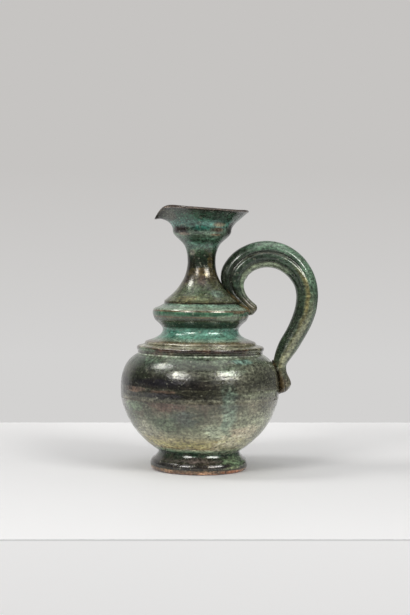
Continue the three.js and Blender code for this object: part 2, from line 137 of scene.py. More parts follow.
def spread(tree, value, low, high):
    """How far a value has come from low to high, from 0 to 1."""
    node = add_node(tree, "ShaderNodeMapRange", Value=value, From_Min=low, From_Max=high)
    return node.outputs["Result"]


def clay_noise(tree, lump, detail=4.0, roughness=0.55, stretch=(1, 1, 1), warp=0.0):
    """Noise through the clay whose lumps are about so many millimetres across."""
    place = add_node(tree, "ShaderNodeTexCoord")
    stretched = add_node(tree, "ShaderNodeMapping", Vector=place.outputs["Object"], Scale=stretch)
    noise = add_node(
        tree,
        "ShaderNodeTexNoise",
        Vector=stretched.outputs["Vector"],
        Scale=1000 / lump,
        Detail=detail,
        Roughness=roughness,
        Distortion=warp,
    )
    return noise.outputs["Fac"]


def ramp(tree, value, *stops):
    """Colours or greys spread along a value, each stop a place from 0 to 1 and what it gives."""
    node = add_node(tree, "ShaderNodeValToRGB", Fac=value)
    elements = node.color_ramp.elements
    while len(elements) < len(stops):
        elements.new(0.5)
    for element, (place, shade) in zip(elements, stops):
        element.position = place
        element.color = shade if isinstance(shade, tuple) else (shade, shade, shade, 1)
    return node.outputs["Color"]


def blend(tree, share, under, over, way="MIX"):
    """One colour laid over another by a share from 0 to 1."""
    node = tree.nodes.new("ShaderNodeMix")
    node.data_type = "RGBA"
    node.blend_type = way
    for socket, value in zip((node.inputs[0], node.inputs[6], node.inputs[7]), (share, under, over)):
        feed(tree, socket, value)
    return node.outputs[2]


def sway(tree, noise, reach):
    """Noise as a wandering about zero, half of the reach to either side."""
    return sums(tree, "MULTIPLY", sums(tree, "SUBTRACT", noise, 0.5), reach)


def spread_spots_and_painted_light(tree, skin, spots_and_painted_light, raggedness):
    """Spots of other glaze, and spots of painted light and painted shade, with edges that fray more the
    greater the raggedness. Each has a colour, degrees round from the front, a height, half its width in
    degrees, half its height, and how fully it covers."""
    axes = axes_of(tree)
    turn = sums(tree, "ARCTAN2", axes["X"], sums(tree, "MULTIPLY", axes["Y"], -1.0))
    ragged = sway(tree, clay_noise(tree, 10, detail=6, roughness=0.66, stretch=(1, 1, 2.4)), raggedness)
    for shade, around, height, half_wide, half_tall, cover in spots_and_painted_light:
        aside = sums(tree, "WRAP", sums(tree, "SUBTRACT", turn, radians(around)), tau / 2, -tau / 2)
        aside = sums(tree, "DIVIDE", aside, radians(half_wide))
        up = sums(tree, "SUBTRACT", axes["Z"], height * MM)
        up = sums(tree, "DIVIDE", up, half_tall * MM)
        away = sums(tree, "ADD", sums(tree, "MULTIPLY", aside, aside), sums(tree, "MULTIPLY", up, up))
        cover = ramp(tree, sums(tree, "ADD", away, ragged), (0.2, cover), (1.0, 0.0))
        skin = blend(tree, cover, skin, shade)
    return skin


# Each layer of mottling: the size of its lumps in millimetres, how flat they lie, and how strong it is.
MOTTLE_LAYERS = ((28, 1.6, 0.8), (18, 5.5, 0.8), (3.4, 1.5, 1.5))
MOTTLE_SHADES = (
    (0.34, colour(84, 84, 84)),
    (0.5, colour(184, 184, 184)),
    (0.66, colour(255, 255, 255)),
)
DARK_SPECK = colour(34, 32, 23)
PALE_SPECK = colour(176, 176, 156)
COAT_ROUGHNESS = 0.1
GLASS_IOR = 1.5
DIMPLE_HEIGHT = 0.8


def glaze(
    name,
    bands,
    drift=3.0,
    blotch=None,
    blotch_share=0.5,
    mottle=0.6,
    lustre=0.0,
    spots_and_painted_light=(),
    raggedness=3.6,
    paint=None,
    height_mark=None,
    dimpled=0.38,
    coat=0.5,
):
    """Lustrous green glaze that changes with the height, with bands of (height, colour) from low to high.

    It drifts up and down by some millimetres, breaks to another colour in blotches, and is mottled,
    speckled and dimpled all over. Spots and paint come on top of the bands. Some bands, spots and paint
    are painted highlight or painted shade, not glaze. A height mark gives the height before the clay
    was drawn out. Lustre, dimpled and coat say how metallic, how uneven and how glassy the surface is.
    """
    material = bpy.data.materials.new(name)
    material.use_nodes = True
    tree = material.node_tree
    shader = tree.nodes["Principled BSDF"]
    height = axes_of(tree)["Z"]
    if height_mark:
        mark = tree.nodes.new("ShaderNodeAttribute")
        mark.attribute_name = height_mark
        height = mark.outputs["Fac"]
    slow = clay_noise(tree, 34, detail=3, stretch=(1, 1, 1.6))
    quick = clay_noise(tree, 5, detail=4, roughness=0.7)
    wander = sums(tree, "ADD", sway(tree, slow, 2 * drift * MM), sway(tree, quick, 0.9 * drift * MM))
    lowest, highest = bands[0][0], bands[-1][0]
    level = spread(tree, sums(tree, "ADD", height, wander), lowest * MM, highest * MM)
    stops = [((band - lowest) / (highest - lowest), shade) for band, shade in bands]
    skin = ramp(tree, level, *stops)
    if blotch:
        patchy = clay_noise(tree, 17, detail=6, roughness=0.72, warp=0.6)
        patches = ramp(tree, patchy, (0.47, 0.0), (0.66, blotch_share))
        skin = blend(tree, patches, skin, blotch)
    skin = spread_spots_and_painted_light(tree, skin, spots_and_painted_light, raggedness)
    if paint:
        skin = paint(tree, skin)
    for lump, flat, strength in MOTTLE_LAYERS:
        clouds = clay_noise(tree, lump, detail=4, roughness=0.66, stretch=(1, 1, flat))
        dark_light = ramp(tree, clouds, *MOTTLE_SHADES)
        skin = blend(tree, mottle * strength, skin, dark_light, "OVERLAY")
    specks = ramp(tree, clay_noise(tree, 3.0, detail=2, roughness=0.6), (0.3, 0.75), (0.41, 0.0))
    skin = blend(tree, specks, skin, DARK_SPECK)
    pale_specks = ramp(tree, clay_noise(tree, 3.6, detail=2, roughness=0.6), (0.62, 0.0), (0.74, 0.36))
    skin = blend(tree, pale_specks, skin, PALE_SPECK)
    tree.links.new(skin, shader.inputs["Base Color"])
    gloss = ramp(tree, clay_noise(tree, 12, detail=5, roughness=0.65), (0.35, 0.13), (0.65, 0.36))
    tree.links.new(gloss, shader.inputs["Roughness"])
    cloudy = clay_noise(tree, 14, detail=5, roughness=0.7)
    metal = ramp(tree, cloudy, (0.4, 0.2 * lustre), (0.62, lustre))
    tree.links.new(metal, shader.inputs["Metallic"])
    shader.inputs["Coat Weight"].default_value = coat
    shader.inputs["Coat Roughness"].default_value = COAT_ROUGHNESS
    shader.inputs["IOR"].default_value = GLASS_IOR
    fine = sums(tree, "MULTIPLY", clay_noise(tree, 1.6, detail=3), 0.35)
    dimples = sums(tree, "ADD", fine, clay_noise(tree, 6, detail=4, roughness=0.6))
    bump = add_node(tree, "ShaderNodeBump", Height=dimples, Strength=dimpled, Distance=DIMPLE_HEIGHT * MM)
    tree.links.new(bump.outputs["Normal"], shader.inputs["Normal"])
    tree.links.new(bump.outputs["Normal"], shader.inputs["Coat Normal"])
    return material


def fit(piece, material):
    """Gives a finished piece its glaze and puts it in place of the plain solid of the same name."""
    piece.data.materials.clear()
    piece.data.materials.append(material)
    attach(piece, "root")
    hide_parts(piece.name.removesuffix("_glazed"))


FOOT_HEIGHT = 20.5
WAIST = 44.6
foot_outside = [(49.8, 0), *bend((49.8, 0), (52.0, 0.2), (53.5, 2.6), (53.5, 6.4), steps=10)]
foot_outside += bend((53.5, 6.4), (53.5, 11.6), (50.6, 12.2), (48.6, 14.2), steps=14)
foot_outside += bend((48.6, 14.2), (46.6, 16.2), (45.2, 17.6), (WAIST, FOOT_HEIGHT), steps=10)
foot_inside = [(38, FOOT_HEIGHT), *bend((36.5, FOOT_HEIGHT), (36.5, 11), (30.5, 9), (0, 9), steps=10)]
foot = throw("foot_glazed", [(0, 0), *wheel_marks(foot_outside, depth=0.1, pitch=4.6), *foot_inside])
soften(foot, depth=0.5, lump=14)
foot_glaze = glaze(
    "foot_glaze",
    [
        (-0.5, colour(157, 114, 89)),
        (1.6, colour(146, 114, 91)),
        (4.2, colour(125, 100, 76)),
        (5.2, colour(34, 37, 28)),
        (9, colour(41, 39, 37)),
        (12.4, colour(30, 32, 24)),
        (14, colour(72, 68, 63)),
        (17, colour(37, 48, 34)),
        (20.5, colour(34, 61, 43)),
    ],
    drift=1.1,
    blotch=colour(70, 56, 44),
    blotch_share=0.5,
    lustre=0.4,
    spots_and_painted_light=[
        (colour(100, 88, 84), -4, 15, 26, 3.5, 0.65),
        (colour(100, 122, 92), 54, 13, 28, 7, 0.75),
        (colour(122, 132, 96), 42, 6.6, 18, 1.6, 0.7),
        (colour(152, 92, 62), 46, 2.2, 24, 1.8, 0.7),
        (colour(62, 86, 60), 165, 12, 40, 6, 0.7),
    ],
    dimpled=0.25,
    coat=0.55,
)
fit(foot, foot_glaze)

# Lower bowl: the bottom half of the belly, thrown as an open bowl and luted over the foot. Its glaze
# is a thin pale sage that breaks to pinkish brown, with one teal run and olive bands above the foot.
SEAM = 79.6
BELLY = 87.0
RUN_FOOT = 36
RUN_TOP = 104
lower_outside = [(WAIST, FOOT_HEIGHT)]
lower_outside += bend((WAIST, FOOT_HEIGHT), (59, 30.5), (80, 46), (BELLY, SEAM), steps=44)
lower_inside = bend((81, SEAM), (74.2, 48), (55, 37), (38.5, 24.4), steps=24)
lower_outline = [*wheel_marks(lower_outside, depth=0.09, pitch=6.4), (81, SEAM), *lower_inside]
lower_outline += [(38.5, FOOT_HEIGHT), (WAIST, FOOT_HEIGHT)]
lower_bowl = throw("lower_bowl_glazed", lower_outline)
soften(lower_bowl, depth=0.5, lump=17)


def belly_runs(tree, skin):
    """The sides of the belly: paler away from the spout, with a narrow teal run down the front."""
    axes = axes_of(tree)
    wander = sway(tree, clay_noise(tree, 15, detail=5), 34 * MM)
    across = sums(tree, "ADD", axes["X"], wander)
    side = spread(tree, across, -BELLY * MM, BELLY * MM)
    pale = ramp(tree, side, (0.5, 0.0), (0.8, 0.7))
    rise = spread(tree, axes["Z"], 0.0, SEAM * MM)
    rise = sums(tree, "ADD", rise, sums(tree, "MULTIPLY", wander, 4.0))
    pale = sums(tree, "MULTIPLY", pale, ramp(tree, rise, (0.4, 1.0), (0.72, 0.75), (0.95, 0.2)))
    skin = blend(tree, pale, skin, colour(180, 184, 156))
    run = ramp(tree, side, (0.62, 0.0), (0.66, 0.52), (0.69, 0.34), (0.72, 0.0))
    run_rise = spread(tree, axes["Z"], RUN_FOOT * MM, RUN_TOP * MM)
    fading = ramp(tree, run_rise, (0.0, 0.0), (0.3, 1.0), (0.8, 0.8), (1.0, 0.0))
    return blend(tree, sums(tree, "MULTIPLY", run, fading), skin, colour(116, 144, 128))


lower_glaze = glaze(
    "lower_bowl_glaze",
    [
        (20.5, colour(30, 54, 38)),
        (23.4, colour(40, 66, 48)),
        (24.6, colour(140, 166, 138)),
        (27.6, colour(178, 178, 145)),
        (28.6, colour(123, 103, 70)),
        (29.8, colour(176, 167, 123)),
        (34, colour(162, 156, 103)),
        (38, colour(171, 162, 120)),
        (43, colour(145, 145, 119)),
        (52, colour(110, 116, 95)),
        (62, colour(92, 99, 82)),
        (71, colour(74, 76, 62)),
        (80, colour(76, 72, 60)),
    ],
    drift=1.5,
    blotch=colour(112, 92, 80),
    blotch_share=0.4,
    mottle=0.46,
    lustre=0.25,
    spots_and_painted_light=[
        (colour(94, 74, 64), -24, 76, 15, 7, 0.75),
        (colour(74, 84, 80), -12, 63, 12, 9, 0.6),
        (colour(104, 122, 98), -56, 74, 16, 7, 0.7),
        (colour(166, 164, 144), -50, 50, 16, 9, 0.7),
        (colour(84, 100, 78), -26, 55, 15, 10, 0.6),
        (colour(160, 172, 150), 17, 49, 15, 9, 0.55),
        (colour(214, 192, 168), 42, 46, 22, 10, 0.85),
        (colour(204, 192, 164), 36, 32, 28, 7, 0.85),
        (colour(106, 82, 70), 150, 72, 22, 8, 0.8),
        (colour(112, 146, 128), 190, 58, 7, 22, 0.7),
    ],
    paint=belly_runs,
)
fit(lower_bowl, lower_glaze)

# Upper bowl: the top half of the belly, thrown apart and joined rim to rim at the widest line. The
# glaze is thick here and turns to a bronze and purple lustre in a dark band over the join.
RING_SEAT = 127.0
SHOULDER = 69.5
upper_outside = [(BELLY, SEAM - 0.15)]
upper_outside += bend((BELLY, SEAM), (88.5, 100), (86, 118), (SHOULDER, RING_SEAT), steps=44)
upper_inside = bend((62, 121.6), (79.5, 116), (82.4, 99), (81, SEAM), steps=24)
upper_outline = wheel_marks(upper_outside, depth=0.07, pitch=7.0)
upper_outline += [(59.8, RING_SEAT), (59.8, 121), (62, 121.6), *upper_inside, (BELLY, SEAM - 0.15)]
upper_bowl = throw("upper_bowl_glazed", upper_outline)
soften(upper_bowl, depth=0.5, lump=17)
upper_glaze = glaze(
    "upper_bowl_glaze",
    [
        (79.6, colour(85, 81, 68)),
        (83.6, colour(86, 86, 72)),
        (85, colour(40, 40, 31)),
        (88, colour(41, 41, 32)),
        (93.6, colour(52, 52, 41)),
        (95, colour(14, 14, 10)),
        (96.2, colour(27, 25, 22)),
        (102, colour(29, 27, 25)),
        (106, colour(45, 46, 38)),
        (112, colour(60, 63, 52)),
        (119, colour(59, 70, 58)),
        (124, colour(67, 84, 68)),
        (127, colour(93, 107, 90)),
    ],
    drift=1.4,
    blotch=colour(72, 66, 54),
    blotch_share=0.45,
    lustre=0.35,
    spots_and_painted_light=[
        (colour(34, 42, 26), -52, 107, 15, 11, 0.85),
        (colour(20, 18, 24), -32, 100.5, 27, 4.4, 0.95),
        (colour(104, 86, 74), -54, 92, 14, 3.6, 0.75),
        (colour(100, 80, 68), -27, 91, 12, 2.6, 0.65),
        (colour(24, 22, 26), -26, 87, 16, 4, 0.9),
        (colour(34, 34, 24), 8, 89.5, 18, 5, 0.85),
        (colour(88, 94, 76), 55, 88, 26, 5, 0.75),
        (colour(84, 86, 74), 0, 112, 20, 9, 0.5),
        (colour(72, 92, 76), 24, 114, 13, 6, 0.5),
        (colour(94, 134, 124), 36, 122.5, 13, 3, 0.8),
        (colour(24, 25, 16), 52, 104, 17, 12, 0.95),
        (colour(50, 57, 46), -2, 119, 24, 7, 0.65),
        (colour(112, 92, 80), 160, 91, 30, 3, 0.8),
        (colour(96, 122, 102), 195, 112, 26, 8, 0.6),
    ],
    paint=belly_runs,
)
fit(upper_bowl, upper_glaze)

# Shoulder ring: a plain band under a round bead, turned as a ring of its own and set on the belly's
# opening. Glaze has run off the bead, so its edge breaks to reddish brown specks.
COLLAR_SEAT = 138.0
bead = [(67.2 + 3 * cos(radians(turn)), 133.3 + 3 * sin(radians(turn))) for turn in range(-50, 96, 12)]
ring_outline = [(69, RING_SEAT), (69, 130.2), *bead, (61.5, COLLAR_SEAT), (50.5, COLLAR_SEAT)]
ring_outline += [(50.5, 132.5), (55, RING_SEAT), (69, RING_SEAT)]
shoulder_ring = throw("shoulder_ring_glazed", ring_outline)
soften(shoulder_ring, depth=0.35, lump=12, sharpness=radians(55))
ring_glaze = glaze(
    "shoulder_ring_glaze",
    [
        # The two pale bands at the foot of the ring are a painted highlight along its edge on the belly.
        (126.8, colour(186, 194, 176)),
        (127.8, colour(170, 182, 162)),
        (128.6, colour(36, 42, 30)),
        (129.6, colour(62, 70, 54)),
        (130.8, colour(76, 78, 62)),
        (131.6, colour(40, 28, 20)),
        (134.4, colour(42, 31, 22)),
        (135.4, colour(112, 110, 90)),
        (136.6, colour(146, 148, 128)),
        (138, colour(122, 128, 104)),
    ],
    drift=0.6,
    blotch=colour(92, 66, 50),
    blotch_share=0.5,
    lustre=0.3,
    spots_and_painted_light=[
        (colour(104, 120, 98), -60, 133, 20, 2.6, 0.8),
        (colour(110, 114, 94), 62, 132.5, 22, 2.8, 0.7),
        (colour(104, 118, 96), 170, 133, 30, 2.6, 0.7),
    ],
)
fit(shoulder_ring, ring_glaze)

# Collar: a deep hollow moulding under a fat round one, thrown as a short flanged tube. The glaze pools
# bright teal in the hollow and breaks to brown on the edge of the round moulding.
NECK_SEAT = 182.0
collar_outline = [(61.6, COLLAR_SEAT)]
collar_outline += bend((61.6, COLLAR_SEAT), (61.7, 140), (60.2, 141), (58.2, 141.6), steps=8)
collar_outline += bend((58.2, 141.6), (51.5, 143.9), (42, 146.5), (42, 154), steps=18)
collar_outline += bend((42, 154), (42, 157), (46.5, 160.7), (50.3, 164), steps=9)
collar_outline += bend((50.3, 164), (53.4, 168.5), (54.9, 175.6), (50.5, 177.6), steps=18)
collar_outline += bend((50.5, 177.6), (48, 178.6), (46, 179), (41.3, NECK_SEAT), steps=8)
collar_outline += [(35.5, NECK_SEAT), (35.5, 176)]
collar_outline += bend((35.5, 176), (43.5, 176), (48.1, 176), (48.1, 171.5), steps=8)
collar_outline += bend((48.1, 171.5), (48.1, 167), (36.5, 160), (36.5, 154), steps=8)
collar_outline += bend((36.5, 154), (36.5, 147), (46, 147), (46, 140), steps=8)
collar_outline += [(46, 135.5), (50.2, 135.5), (50.2, COLLAR_SEAT), (61.6, COLLAR_SEAT)]
collar = throw("collar_glazed", collar_outline)
soften(collar, depth=0.4, lump=14)
collar_glaze = glaze(
    "collar_glaze",
    [
        (138, colour(104, 98, 76)),
        (139.6, colour(128, 126, 106)),
        (141, colour(92, 80, 58)),
        (142.2, colour(86, 82, 62)),
        (143.2, colour(120, 134, 116)),
        (146, colour(96, 140, 122)),
        (152, colour(92, 140, 124)),
        (156, colour(80, 122, 106)),
        # The dark bands from here up to 165.4 mm are painted shade under the round moulding.
        (157.4, colour(34, 48, 34)),
        (161, colour(34, 44, 30)),
        (163, colour(54, 66, 46)),
        (165.4, colour(40, 48, 34)),
        (167.4, colour(66, 81, 61)),
        (168.4, colour(90, 66, 48)),
        (169.4, colour(61, 83, 61)),
        (171.5, colour(53, 92, 70)),
        (173.4, colour(64, 103, 80)),
        (174.9, colour(92, 70, 50)),
        (176.3, colour(112, 128, 110)),
        (182, colour(104, 136, 118)),
    ],
    drift=0.6,
    blotch=colour(74, 70, 52),
    blotch_share=0.4,
    mottle=0.42,
    lustre=0.2,
    dimpled=0.3,
    spots_and_painted_light=[
        (colour(104, 84, 66), 52, 173.6, 18, 1.8, 0.7),
        (colour(110, 124, 102), 40, 168, 24, 4, 0.6),
        (colour(52, 116, 96), -42, 150, 18, 4, 0.6),
        (colour(60, 74, 54), 150, 168, 40, 5, 0.5),
    ],
)
fit(collar, collar_glaze)

# Neck: a short skirt that stands on the collar, a concave cone and a slim throat, thrown in one piece.
# The glaze is dark olive to bronze on the throat and pale where it runs out over the cone.
CUP_SEAT = 250.0
NECK_TOP = 22.1
neck_outline = [(40.7, NECK_SEAT), (40.9, 183.4), (40.6, 185.6)]
neck_outline += bend((40.6, 185.6), (26.2, 197), (15.5, 210), (15.5, 229), steps=34)
neck_outline += bend((15.5, 229), (15.5, 238), (17.3, 245), (NECK_TOP, CUP_SEAT), steps=18)
neck_outline += [(19.3, CUP_SEAT), (16.5, CUP_SEAT)]
neck_outline += bend((16.5, CUP_SEAT), (14.1, 245), (11, 238), (11, 229), steps=9)
neck_outline += bend((11, 229), (11, 210), (20, 193), (31, 179.5), steps=14)
neck_outline += [(35.2, 179.5), (35.2, NECK_SEAT), (40.7, NECK_SEAT)]
neck = throw("neck_glazed", neck_outline)
soften(neck, depth=0.5, lump=15)
neck_glaze = glaze(
    "neck_glaze",
    [
        (182, colour(134, 156, 134)),
        # The dark line at the foot of the skirt is a painted shadow under the skirt's edge.
        (182.6, colour(34, 28, 18)),
        (183.6, colour(46, 40, 26)),
        (184.6, colour(92, 96, 70)),
        (188, colour(92, 100, 76)),
        (196, colour(80, 96, 74)),
        (204, colour(74, 78, 56)),
        (210, colour(60, 54, 36)),
        (218, colour(68, 60, 34)),
        (223, colour(24, 34, 20)),
        (234, colour(28, 46, 28)),
        (240, colour(60, 84, 62)),
        (246, colour(84, 114, 100)),
        (250, colour(60, 92, 76)),
    ],
    drift=1.3,
    blotch=colour(84, 74, 46),
    blotch_share=0.45,
    lustre=0.5,
    spots_and_painted_light=[
        (colour(66, 48, 42), 2, 208, 15, 6, 0.7),
        (colour(92, 74, 42), -6, 219, 24, 3.6, 0.5),
        # Painted shade down the left side of the throat.
        (colour(22, 20, 13), -64, 228, 18, 13, 0.85),
        (colour(90, 80, 46), 38, 229, 17, 11, 0.8),
        (colour(112, 106, 94), -40, 239, 18, 4, 0.6),
        (colour(54, 44, 42), -52, 207, 15, 6, 0.75),
        (colour(100, 124, 108), 34, 194, 17, 5, 0.7),
        (colour(104, 98, 62), -24, 188.5, 24, 3.4, 0.6),
        # Painted shade down the right side of the throat and cone.
        (colour(36, 32, 18), 74, 214, 16, 14, 0.8),
        (colour(88, 78, 46), 170, 222, 30, 9, 0.7),
        (colour(98, 122, 106), 150, 196, 24, 6, 0.6),
    ],
    raggedness=2.8,
    dimpled=0.35,
)
fit(neck, neck_glaze)

# Mouth: a small cup with a thin flared lip, thrown last. While it is soft, one finger draws the lip
# out to a beak and two pinch it in beside the gutter.
DRAW_START = 13.5
DRAW_HEIGHT = 22.5
SPOUT_REACH = 4.1
SPOUT_DIP = 14
SPOUT_ANGLE = 15
PINCH_DEPTH = 5
PINCH_ANGLE = 38
PINCH_SPREAD = 24
CHEEK_RISE = 1.2
LIP_TILT = 0.055
LIP_DRAW = 2.2
LIP_RISE = 2.2
cup_outline = [(NECK_TOP, CUP_SEAT)]
cup_outline += bend((NECK_TOP, CUP_SEAT), (27.5, 255.5), (32.4, 258), (32.4, 263.5), steps=16)
cup_outline += bend((32.4, 263.5), (32.4, 269.5), (40, 276), (47.6, 283.4), steps=22)
cup_outline += [(48.4, 283.7), (49.1, 284.3), (49.3, 285.0), (48.9, 285.8), (48.0, 286.2), (46.8, 285.9)]
cup_outline += bend((46.8, 285.9), (37.4, 277.3), (28.4, 269.5), (28.4, 263.5), steps=18)
cup_outline += bend((28.4, 263.5), (28.4, 258), (19.2, 255.1), (16.5, 252.8), steps=12)
cup_outline += [(19.6, 252.8), (19.6, CUP_SEAT), (NECK_TOP, CUP_SEAT)]
mouth = throw("mouth_cup_glazed", cup_outline, steps=180)
thrown_height = mouth.data.attributes.new("thrown_height", "FLOAT", "POINT")
for corner in mouth.data.vertices:
    x, y, z = corner.co / MM
    thrown_height.data[corner.index].value = corner.co.z
    radius = hypot(x, y)
    from_spout = abs(degrees(atan2(y, -x)))
    share = max((z - CUP_SEAT - DRAW_START) / DRAW_HEIGHT, 0)
    gutter = exp(-((from_spout / SPOUT_ANGLE) ** 2))
    pinch = exp(-(((from_spout - PINCH_ANGLE) / PINCH_SPREAD) ** 2))
    drawn = radius + share ** 2 * (SPOUT_REACH * gutter - PINCH_DEPTH * pinch)
    drawn += share * LIP_DRAW * max(x / radius, 0) ** 2
    risen = z - share * LIP_TILT * x - share ** 2.5 * SPOUT_DIP * gutter
    risen += share ** 2 * (CHEEK_RISE * pinch + LIP_RISE * max(x / radius, 0) ** 4)
    corner.co = Vector((x * drawn / radius, y * drawn / radius, risen)) * MM
soften(mouth, depth=0.45, lump=13)
mouth_glaze = glaze(
    "mouth_glaze",
    [
        (250, colour(70, 98, 84)),
        (251.6, colour(42, 68, 50)),
        (253.6, colour(68, 98, 80)),
        (257, colour(104, 126, 106)),
        (261, colour(88, 108, 92)),
        (265, colour(58, 92, 80)),
        (270, colour(72, 112, 102)),
        (275, colour(50, 84, 68)),
        (281, colour(42, 66, 50)),
        (282.8, colour(38, 48, 36)),
        (283.5, colour(46, 34, 29)),
        # The thin pale band here is a painted highlight along the lip's rounded edge.
        (284.3, colour(128, 116, 104)),
        (285, colour(54, 40, 34)),
        (287, colour(58, 44, 38)),
    ],
    drift=1.6,
    blotch=colour(58, 54, 42),
    blotch_share=0.45,
    lustre=0.35,
    spots_and_painted_light=[
        (colour(18, 10, 6), -50, 263.2, 28, 5.0, 1.0),
        # A painted highlight, pale pink, under the dark patch on the cup's left.
        (colour(150, 134, 118), -40, 258.4, 17, 1.8, 0.75),
        (colour(42, 100, 86), -2, 264.5, 22, 3.4, 0.8),
        (colour(64, 46, 32), 32, 263, 19, 3.2, 0.9),
        (colour(132, 116, 90), 34, 268.6, 16, 2.8, 0.7),
        (colour(146, 120, 88), 30, 257.6, 18, 1.4, 0.75),
        (colour(28, 27, 17), 70, 264, 20, 12, 0.95),
        (colour(80, 78, 68), -66, 279, 22, 8, 0.75),
        (colour(32, 62, 44), 24, 278, 34, 5, 0.6),
        (colour(36, 28, 22), -90, 276, 13, 7, 0.7),
        (colour(40, 34, 24), 160, 263, 40, 4, 0.8),
        (colour(40, 100, 86), 205, 268, 24, 5, 0.7),
    ],
    raggedness=2.0,
    height_mark="thrown_height",
    dimpled=0.3,
    coat=0.35,
)
fit(mouth, mouth_glaze)

# Handle: a roll of clay pulled out to a long taper with two flutes down each side, arched while soft,
# with its tip pressed onto the collar and its heel pressed onto the belly.
HANDLE_STRETCHES = [
    ((60.4, 174.3), (45.4, 187.2), (35.0, 196.6), (35.0, 209.2)),
    ((35.0, 209.2), (35.0, 224.5), (53.0, 238.1), (72.9, 238.1)),
    ((72.9, 238.1), (96.4, 238.1), (117.2, 216.5), (117.2, 192.1)),
    ((117.2, 192.1), (117.2, 160.1), (93.0, 137.0), (88.5, 118.6)),
    ((88.5, 118.6), (86.7, 111.0), (93.0, 99.0), (92.6, 85.5)),
]
ROLL_FACETS = 96
HANDLE_STEPS = 170
FLUTE_DEPTH = 0.2
FLUTE_WIDTH = 10
BACK_FLUTE = 77
FRONT_FLUTE = 127
PRESS = 2.4
HEEL_SLANT = 0.35
FRONT_FLUTE_SHARE = 0.7
STEP_CROWDING = 0.7
TIP_ROUND = 5.5
HEEL_ROUND = 6
END_CLOSING = 0.9

handle_line = [HANDLE_STRETCHES[0][0]]
for stretch in HANDLE_STRETCHES:
    handle_line += bend(*stretch, steps=60)
handle_line = [Vector(point) for point in handle_line]
walked = [0.0]
for point, following in zip(handle_line, handle_line[1:]):
    walked.append(walked[-1] + (following - point).length)


def handle_place(share):
    """The middle of the roll and the way it runs, at a share of its length."""
    goal = share * walked[-1]
    step = next(i for i in range(1, len(walked)) if walked[i] >= goal or i == len(walked) - 1)
    before, after = handle_line[step - 1], handle_line[step]
    span = (goal - walked[step - 1]) / (walked[step] - walked[step - 1])
    lead = handle_line[min(step + 1, len(handle_line) - 1)] - handle_line[max(step - 2, 0)]
    return before.lerp(after, span), lead.normalized()


def along(share, *stations):
    """A value that changes smoothly along the handle, between those at given shares of the length."""
    for (place, value), (next_place, next_value) in zip(stations, stations[1:]):
        if share <= next_place:
            part = max(share - place, 0) / (next_place - place)
            return value + (next_value - value) * part * part * (3 - 2 * part)
    return stations[-1][1]


bpy.ops.object.select_all(action="DESELECT")
bpy.ops.mesh.primitive_circle_add(vertices=ROLL_FACETS, radius=1, fill_type="NGON", location=(0, 0, 0))
handle = bpy.context.object
handle.name = "handle_glazed"
bpy.ops.object.mode_set(mode="EDIT")
bpy.ops.mesh.select_all(action="SELECT")
for _ in range(HANDLE_STEPS):
    bpy.ops.mesh.extrude_region_move(TRANSFORM_OT_translate={"value": (0, 0, 1 / HANDLE_STEPS)})
bpy.ops.mesh.select_all(action="SELECT")
bpy.ops.mesh.normals_make_consistent(inside=False)
bpy.ops.object.mode_set(mode="OBJECT")
flute_mark = handle.data.attributes.new("flute", "FLOAT", "POINT")
band_mark = handle.data.attributes.new("band", "FLOAT", "POINT")
walk_mark = handle.data.attributes.new("walk", "FLOAT", "POINT")
for corner in handle.data.vertices:
    x, y, step = corner.co
    turn = atan2(y, x)
    share = min(max(step - STEP_CROWDING * sin(tau * step) / tau, 0), 1)
    middle, run = handle_place(share)
    back = Vector((-run.y, run.x))
    width = along(share, (0, 12.4), (0.045, 11.8), (0.19, 29.4), (0.34, 29.4), (0.62, 24), (0.8, 21.8),
                  (0.92, 13.2), (0.975, 18), (1, 15))
    thickness = along(share, (0, 19), (0.2, 26), (0.62, 24), (0.9, 19), (1, 21))
    end = min(share, 1 - share) * walked[-1]
    end_round = TIP_ROUND if share < 0.5 else HEEL_ROUND
    dome = sqrt(1 - END_CLOSING * max(1 - end / end_round, 0) ** 2)
    fade = along(share, (0, 0.6), (0.15, 1), (0.42, 1), (0.56, 0.15), (0.85, 0.1), (1, 0.8))
    side = abs(degrees(turn))
    flutes = exp(-(((side - BACK_FLUTE) / FLUTE_WIDTH) ** 2))
    flutes += FRONT_FLUTE_SHARE * exp(-(((side - FRONT_FLUTE) / FLUTE_WIDTH) ** 2))
    power = along(share, (0, 2), (0.34, 2), (0.8, 1.55), (1, 1.55))
    lens = (abs(cos(turn)) ** power + abs(sin(turn)) ** power) ** (-1 / power)
    skin = lens * (1 - FLUTE_DEPTH * fade * flutes)
    press_back = along(share, (0, 1), (0.09, 1), (0.14, 0), (1, 0))
    press_front = along(share, (0, 0), (0.87, 0), (0.91, 1), (1, 1))
    press = PRESS * (press_back if cos(turn) > 0 else press_front)
    across = cos(turn) * (width / 2 * dome * skin + press)
    aside = -sin(turn) * (thickness / 2 * dome * skin)
    middle = middle - run * across * HEEL_SLANT * along(share, (0, 0), (0.92, 0), (1, 1))
    corner.co = Vector((middle.x + back.x * across, aside, middle.y + back.y * across)) * MM
    flute_mark.data[corner.index].value = min(flutes * fade, 1)
    band_mark.data[corner.index].value = 0.5 - 0.5 * cos(turn)
    walk_mark.data[corner.index].value = share
bpy.ops.object.mode_set(mode="EDIT")
bpy.ops.mesh.select_all(action="SELECT")
bpy.ops.mesh.normals_make_consistent(inside=False)
bpy.ops.object.mode_set(mode="OBJECT")
soften(handle, depth=0.5, lump=12)


